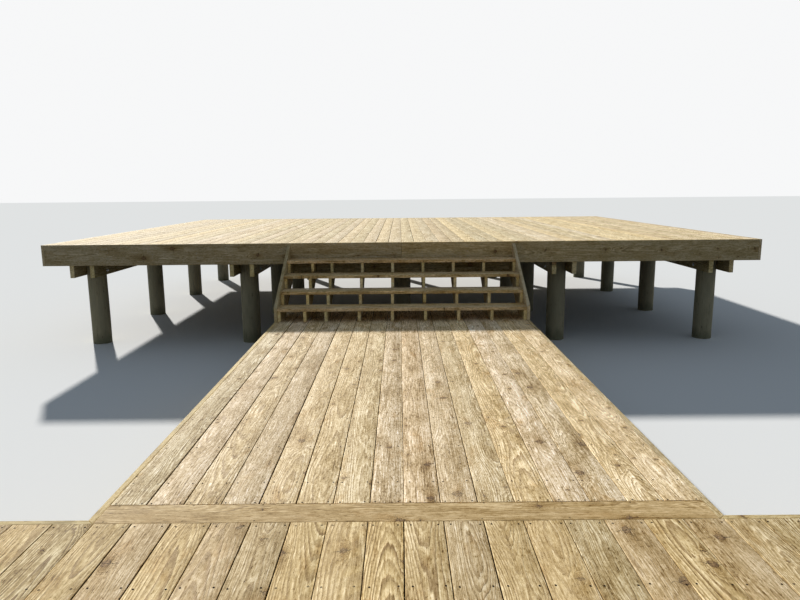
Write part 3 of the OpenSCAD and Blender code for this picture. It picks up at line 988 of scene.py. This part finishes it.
def boltEnd(name, high, withRod):
    # washer, hexagon with eased corners and, on the nut's side, the threaded end
    mesh = bmesh.new()
    washer, thick = bolts["washer"] / 2, bolts["washerThick"]
    edgeHigh, edgeIn = bolts["washerEdge"]
    closedRings(mesh, 28, [(-0.001, washer), (thick - edgeHigh, washer), (thick, washer - edgeIn)])
    top = thick + high
    corner = bolts["head"] / 2 / math.cos(math.pi / 6)
    closedRings(mesh, 6, [
        (thick - 0.0005, corner), (top - bolts["easedFrom"], corner),
        (top, corner * bolts["easedTo"]),
    ])
    if withRod:
        rod, out, threads = bolts["rod"] / 2, bolts["rodOut"], bolts["threads"]
        rows = [(top - 0.001, rod * 0.92)]
        for i in range(threads):
            z = top + out * i / threads
            rows += [(z, rod * bolts["threadRoot"]), (z + out / threads / 2, rod)]
        closedRings(mesh, 16, rows + [(top + out, rod * 0.86)])
    return keepMesh(mesh, name)


screwShape = turnedShape("screwShape", 12, [
    (-1.0, 0.46, 0.46), (0.6, 0.50, 0.50), (1.0, 0.42, 0.38), (-0.6, 0.22, 0.13),
])
nailShape = turnedShape("nailShape", 10, [(-1.0, 0.5), (0.55, 0.5), (1.0, 0.38)])
headShape = boltEnd("boltHead", bolts["headHigh"], False)
nutShape = boltEnd("boltNut", bolts["nutHigh"], True)
screwMetalAndHoleShade, zincMetal = metal("screwCoatingAndHoleShade"), metal("zincCoating")
setFixings = fixingTree()

# shape, diameter, height, spin, metal and slot
fixings = {
    "screw": (screwShape, 0.0096, 0.0004, 2 * math.pi, screwMetalAndHoleShade, "screw_heads"),
    "nail": (nailShape, 0.0075, 0.0012, 0.0, zincMetal, "galvanized_hardware"),
    "boltHead": (headShape, 1.0, 1.0, 2 * math.pi, zincMetal, "galvanized_hardware"),
    "boltNut": (nutShape, 1.0, 1.0, 2 * math.pi, zincMetal, "galvanized_hardware"),
}
screwPlaces = {
    "fromEdge": (0.018, 0.032),
    "rowJitter": 0.006,
    "endJitter": 0.003,
    "proud": 0.0001,
}
nailPlaces = {"inColumn": 3, "along": 0.006, "up": 0.012, "proud": 0.0001}


def fix(name, places, kind, seed):
    # places are points and the way that each one faces
    shape, diameter, height, spin, coating, slot = fixings[kind]
    points, facings = zip(*places)
    piece = grow(name, setFixings, {
        "Shape": shape, "Diameter": diameter, "Height": height, "Spin": spin, "Seed": seed,
        "Metal": coating,
    }, points, None, {"facing": facings})
    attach(piece, "root")


def rowsOf(first, step, count, last):
    return [first + i * step for i in range(count)] + [last]


joistRows = {
    "raised": rowsOf(1.0713, spacing, 15, 8.3567),
    "walkway": [-4.594] + rowsOf(planks["walkwayJoist"], spacing, 11, 0.9567),
    "platform": [-4.823] + [-4.8133 - spacing * i for i in range(1, 8)] + [-8.357],
}
up, leftward, rightward = (0.0, 0.0, 1.0), (-1.0, 0.0, 0.0), (1.0, 0.0, 0.0)
waterward, shoreward = (0.0, -1.0, 0.0), (0.0, 1.0, 0.0)
deckTops = {"raised": raisedHigh.z, "walkway": 0.6, "platform": 0.6}

for seed, (name, spans) in enumerate(deckSpans.items(), 8):
    dice = random.Random(seed)
    rows = joistRows[name]
    height = deckTops[name] - boardSizes["below"] + screwPlaces["proud"]
    places = []
    for left, right in spans:
        for y in rows:
            jitter = screwPlaces["endJitter" if y in (rows[0], rows[-1]) else "rowJitter"]
            for x in (
                left + dice.uniform(*screwPlaces["fromEdge"]),
                right - dice.uniform(*screwPlaces["fromEdge"]),
            ):
                places.append(((x, y + dice.uniform(-jitter, jitter), height), up))
    fix(name + "_deck_screws", places, "screw", seed)
    print(name, "screws:", len(places))

# stair treads, over the stringers, and the board between the decks
dice = random.Random(12)
stairScrews = {"outer": 0.03, "inner": 0.112, "inward": 0.004, "jitter": (0.005, 0.004)}
stringers = [1.4827 - 0.4 * i for i in range(7)] + [-1.1723, -1.4827]
jitterX, jitterY = stairScrews["jitter"]
outer, inner = stairScrews["outer"], stairScrews["inner"]
places = []
for number in range(1, 5):
    low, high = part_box("stair_tread_%d" % number)
    for x in stringers:
        inward = -math.copysign(stairScrews["inward"], x) if abs(x) > 1.4 else 0.0
        for y in (low.y + outer, low.y + inner, high.y - inner, high.y - outer):
            spotX = x + inward + dice.uniform(-jitterX, jitterX)
            places.append(((spotX, y + dice.uniform(-jitterY, jitterY), high.z), up))
fix("stair_tread_screws", places, "screw", 13)

crossScrews = {
    "first": 0.03, "step": 0.372, "fromEdges": (0.019, 0.012),
    "jitter": ((-0.03, 0.03), (-0.004, 0.003)),
}
low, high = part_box("transition_board")
waterEdge, shoreEdge = crossScrews["fromEdges"]
jitterX, jitterY = crossScrews["jitter"]
places = []
x = low.x + crossScrews["first"]
while x < high.x:
    for y in (low.y + waterEdge, high.y - shoreEdge):
        places.append(((x + dice.uniform(*jitterX), y + dice.uniform(*jitterY), high.z), up))
    x += crossScrews["step"]
fix("transition_screws", places, "screw", 14)

# nails through fascias and rims into the ends of the joists and beams
dice = random.Random(15)
places = []


def nailRim(node, facing, joists, lowZ, highZ):
    # a column of nails over each joist
    low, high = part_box(node)
    out = high if sum(facing) > 0 else low
    count, along, upward = (nailPlaces[k] for k in ("inColumn", "along", "up"))
    for joist in joists:
        for i in range(count):
            z = lowZ + (highZ - lowZ) * (i + 0.5) / count
            at, rise = joist + dice.uniform(-along, along), dice.uniform(-upward, upward)
            x, y = (out.x, at) if facing[0] else (at, out.y)
            places.append(((x, y, z + rise), facing))


raisedZ = (joistLow.z + 0.01, joistHigh.z)
lowZ = tuple(corner.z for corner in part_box("walkway_joists"))
beamNails = [x + side * planks["beamOffset"] for x in raisedLines for side in (-1, 1)]
between = [
    x for x in rowsOf(-4.60, 0.61, 15, 4.60)
    if min(abs(x - n) for n in beamNails) > 0.12 and abs(x) > 0.03
]
shoreNails = rowsOf(-3.5, 0.5, 3, -1.75)
for node, facing, joists, heights in (
    ("raised_left_fascia", leftward, joistRows["raised"], raisedZ),
    ("raised_right_fascia", rightward, joistRows["raised"], raisedZ),
    ("raised_front_fascia", waterward, between, raisedZ),
    ("raised_back_fascia", shoreward, between, raisedZ),
    ("walkway_left_rim", leftward, joistRows["walkway"][1:], lowZ),
    ("walkway_right_rim", rightward, joistRows["walkway"][1:], lowZ),
    ("platform_left_rim", leftward, joistRows["platform"][1:-1], lowZ),
    ("platform_right_rim", rightward, joistRows["platform"][1:-1], lowZ),
    ("platform_water_rim", waterward, rowsOf(-3.5, 0.5, 14, 3.5), lowZ),
    ("platform_shore_left_rim", shoreward, shoreNails, lowZ),
    ("platform_shore_right_rim", shoreward, [-x for x in shoreNails], lowZ),
):
    nailRim(node, facing, joists, *heights)
# the heads stand out of the drawn-in planks and stay inside the frame's own box
sunk = fixings["nail"][2] + nailPlaces["proud"]
nails = [(tuple(p - f * sunk for p, f in zip(point, facing)), facing) for point, facing in places]
fix("rim_nails", nails, "nail", 16)
print("nails:", len(nails))

beamFace = planks["beamOffset"] + planks["beamHalf"]
heads, nuts = [], []
dice = random.Random(17)
for piles, height in pileRows.values():
    base = pileSizes[height + "Shoulder"] + bolts["fromShoulder"]
    for x, y in piles:
        way = dice.choice((-1, 1))
        for level, side in ((0, -1), (1, 1)):
            z = base + level * bolts["apart"]
            at = y + side * bolts["stagger"] * way
            heads.append(((x - beamFace, at, z), leftward))
            nuts.append(((x + beamFace, at, z), rightward))
fix("bolt_heads", heads, "boltHead", 18)
fix("bolt_nuts", nuts, "boltNut", 19)
for shape in (screwShape, nailShape, headShape, nutShape):
    bpy.data.objects.remove(shape)
print("bolts:", len(heads))


# floor, light and camera

studio = {
    "floor": rgb(0.88, 0.88, 0.87),
    "floorBounce": rgb(0.17, 0.18, 0.20),
    "floorRoughness": 0.9,
    "floorSize": 260.0,
    "worldLight": 0.24,
    "worldTone": rgb(0.70, 0.84, 1.0),
    "sunStrength": 5.15,
    "sunTone": (1.0, 0.98, 0.94),
    "sunAngle": math.radians(2),
    "sunFrom": (-0.40, 0.80, 0.41),
    "backdrop": rgb(0.93, 0.935, 0.94),
}


def seenByRays(b):
    # 1 for what the camera, a reflection or a look through glass shows
    path = b.put("ShaderNodeLightPath").outputs
    through = b.calc("MAXIMUM", path["Is Glossy Ray"], path["Is Transmission Ray"])
    return b.calc("MAXIMUM", path["Is Camera Ray"], through)


def buildStudio():
    half = studio["floorSize"] / 2
    mesh = bpy.data.meshes.new("studioFloor")
    corners = [(-half, -half, 0), (half, -half, 0), (half, half, 0), (-half, half, 0)]
    mesh.from_pydata(corners, [], [(0, 1, 2, 3)])
    floor = addObject("studioFloor", mesh)
    material, b, shader = newMaterial("studioFloor")
    # the floor sends less light up than it shows, so the shaded side stays in shade
    tone = b.mix(seenByRays(b), studio["floorBounce"], studio["floor"])
    b.feed(shader.inputs["Base Color"], tone)
    shader.inputs["Roughness"].default_value = studio["floorRoughness"]
    shader.inputs["Specular IOR Level"].default_value = 0.0
    mesh.materials.append(material)

    world = bpy.data.worlds.new("studioWorld")
    scene.world = world
    world.use_nodes = True
    world.node_tree.nodes.clear()
    b = Bench(world.node_tree)
    sky = {"Color": studio["worldTone"], "Strength": studio["worldLight"]}
    light = b.first("ShaderNodeBackground", sky)
    shown = b.first("ShaderNodeBackground", {"Color": studio["backdrop"], "Strength": 1.0})
    both = b.first("ShaderNodeMixShader", {0: seenByRays(b), 1: light, 2: shown})
    b.put("ShaderNodeOutputWorld", {0: both})

    lamp = bpy.data.lights.new("studioSun", "SUN")
    lamp.energy = studio["sunStrength"]
    lamp.color = studio["sunTone"]
    lamp.angle = studio["sunAngle"]
    sun = addObject("studioSun", lamp)
    sun.rotation_mode = "QUATERNION"
    sun.rotation_quaternion = Vector(studio["sunFrom"]).to_track_quat("Z", "Y")


cameraView = {
    "place": (-0.0177, -7.621, 2.1662),
    "lens": 28.71,
    "sensor": 36.0,
    "farthest": 500.0,
    "yaw": 0.0464,
    "pitch": 9.8516,
    "roll": -0.5025,
}


def buildCamera():
    yaw, pitch, roll = (math.radians(cameraView[k]) for k in ("yaw", "pitch", "roll"))
    data = bpy.data.cameras.new("photoCamera")
    data.lens = cameraView["lens"]
    data.sensor_width = cameraView["sensor"]
    data.clip_end = cameraView["farthest"]
    camera = addObject("photoCamera", data)
    camera.matrix_world = (
        Matrix.Translation(cameraView["place"]) @ Matrix.Rotation(yaw, 4, "Z")
        @ Matrix.Rotation(math.pi / 2 - pitch, 4, "X") @ Matrix.Rotation(roll, 4, "Z")
    )
    scene.camera = camera


buildStudio()
buildCamera()
scene.view_settings.view_transform = "Standard"
print("studio ready")
